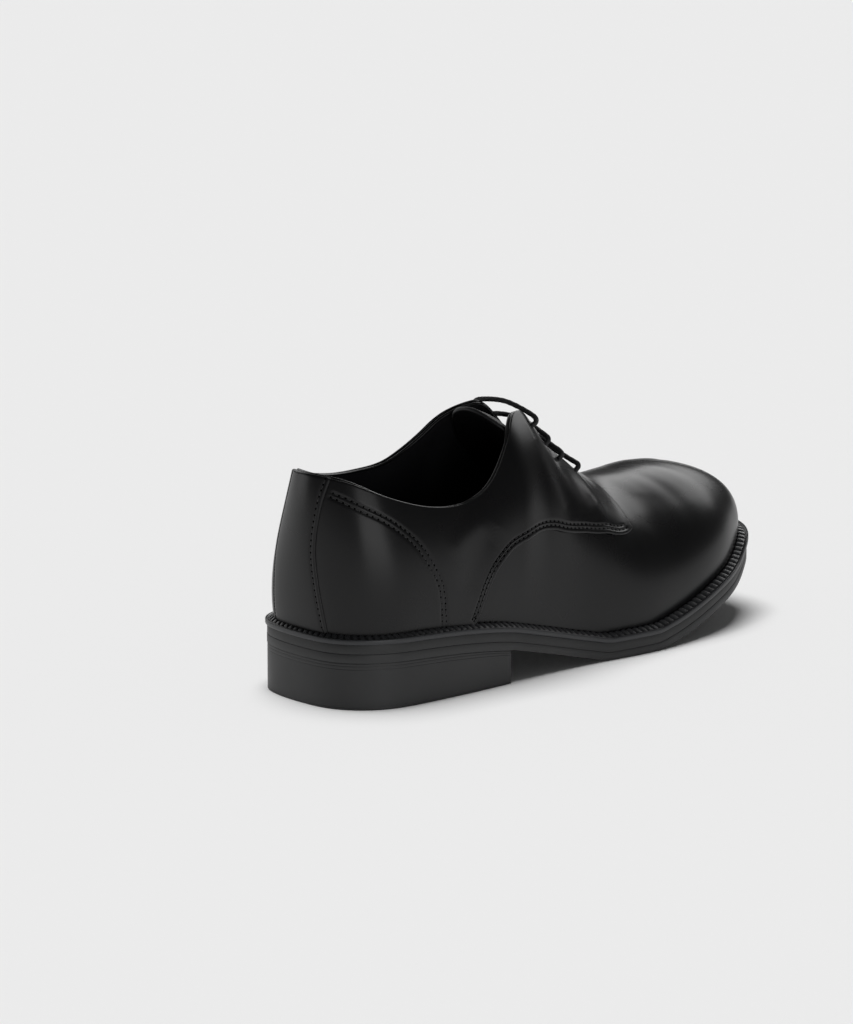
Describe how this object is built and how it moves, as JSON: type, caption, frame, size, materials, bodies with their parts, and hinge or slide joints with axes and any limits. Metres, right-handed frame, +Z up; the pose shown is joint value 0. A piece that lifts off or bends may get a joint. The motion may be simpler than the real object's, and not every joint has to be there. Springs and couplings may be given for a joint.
{
  "type": "derby shoe",
  "caption": "Black leather derby shoe for the right foot: plain toe, open lacing over a tongue, chunky rubber sole with a block heel.",
  "frame": {"origin": "on the floor under the middle of the sole's bounding box", "axes": "+X towards the toe, +Y towards the inner side of the foot, +Z up"},
  "size_m": [0.288, 0.104, 0.1229],
  "materials": {
    "black_leather": "smooth box leather, semi gloss",
    "upper_leather": "smooth box leather, semi gloss",
    "strap_leather": "smooth leather, satin",
    "tongue_leather": "soft leather, satin",
    "insole_leather": "lining leather, matt",
    "sole_rubber": "moulded, satin",
    "heel_rubber": "moulded, satin",
    "midsole_rubber": "matt",
    "welt_rubber": "ribbed on top, satin edge",
    "lace_cord": "round woven cord, matt"
  },
  "bodies": {
    "root": {"heel": "heel_rubber", "outsole": "sole_rubber", "midsole": "midsole_rubber", "welt": "welt_rubber", "insole": "insole_leather", "upper": "upper_leather", "quarter_lateral": "black_leather", "quarter_medial": "black_leather", "back_strap": "strap_leather", "tongue": "tongue_leather", "lace": "lace_cord"}
  },
  "joints": []
}
